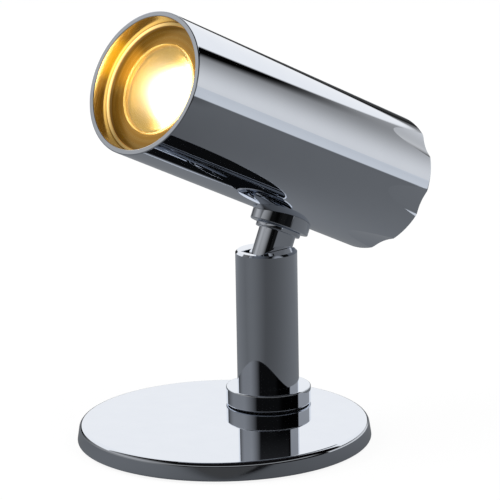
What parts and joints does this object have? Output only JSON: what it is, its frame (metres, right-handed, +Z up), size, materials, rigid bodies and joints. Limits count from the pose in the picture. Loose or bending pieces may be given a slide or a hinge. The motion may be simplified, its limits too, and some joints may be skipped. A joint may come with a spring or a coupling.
{
  "type": "articulated led spotlight",
  "caption": "Chromed tubular spotlight with a recessed LED lamp, tilting in the slot of a short post that swivels on a round weighted base",
  "frame": {"origin": "Centre of the foot pad's resting face, on the surface that the light stands on", "axes": "+Z up, the lens looks along -Y and is raised by the head's pitch, and the post stands behind the base's centre, towards +Y"},
  "size_m": [0.115, 0.1606, 0.1714],
  "materials": {
    "chrome": "polished chrome plate on steel",
    "chromed_aluminium": "polished chrome plate on aluminium",
    "plated_steel": "zinc plated",
    "black_steel": "black oxide",
    "turned_aluminium": "fine turned",
    "bronze": "bare",
    "pad_rubber": "matte",
    "black_nylon": "satin moulded",
    "white_moulding": "moulded",
    "white_board": "white solder mask",
    "phosphor": "phosphor resin",
    "metallised_plastic": "vacuum metallised",
    "clear_lens": "clear, lightly frosted"
  },
  "bodies": {
    "base": {"base_plate": "chrome", "foot_pad": "pad_rubber", "bottom_cover": "plated_steel", "cover_screws": "plated_steel", "cord_bush": "pad_rubber", "slip_washer": "black_nylon", "swivel_spindle": "plated_steel", "spindle_washer": "plated_steel", "spindle_nut": "plated_steel", "stop_pin": "plated_steel", "spring_washer": "plated_steel", "lock_nut": "plated_steel"},
    "post": {"turning_collar": "chrome", "post_sleeve": "chrome", "clevis_insert": "turned_aluminium", "set_screws": "black_steel", "tilt_pin": "plated_steel", "friction_washers": "bronze"},
    "head": {"neck": "chrome", "saddle_block": "chrome", "saddle_screws": "plated_steel", "head_body": "chromed_aluminium", "front_ring": "plated_steel", "lamp_bezel": "turned_aluminium", "lens": "clear_lens", "reflector": "metallised_plastic", "led_board": "white_board", "led_chip": "phosphor", "heat_sink": "turned_aluminium", "lamp_base": "white_moulding", "contact_pins": "bronze", "lamp_holder": "white_moulding", "holder_screws": "plated_steel", "rear_plate": "chromed_aluminium", "plate_screws": "plated_steel", "switch_body": "black_nylon", "switch_nut": "plated_steel"},
    "button": {"switch_button": "black_nylon"}
  },
  "joints": [
    {"name": "post_swivel", "type": "hinge", "parent": "base", "child": "post", "pos_m": [-0.0041, 0.0282, 0.00825], "axis": [0, 0, 1], "range_deg": [-168, 168]},
    {"name": "head_tilt", "type": "hinge", "parent": "post", "child": "head", "pos_m": [-0.0041, 0.0282, 0.06285], "axis": [-1, 0, 0], "range_deg": [-25, 65]},
    {"name": "switch_press", "type": "slide", "parent": "head", "child": "button", "axis": [0, -0.9063, 0.4226], "range_m": [0, 0.0018], "stiffness_N_per_m": 900, "springref_m": -0.001}
  ]
}
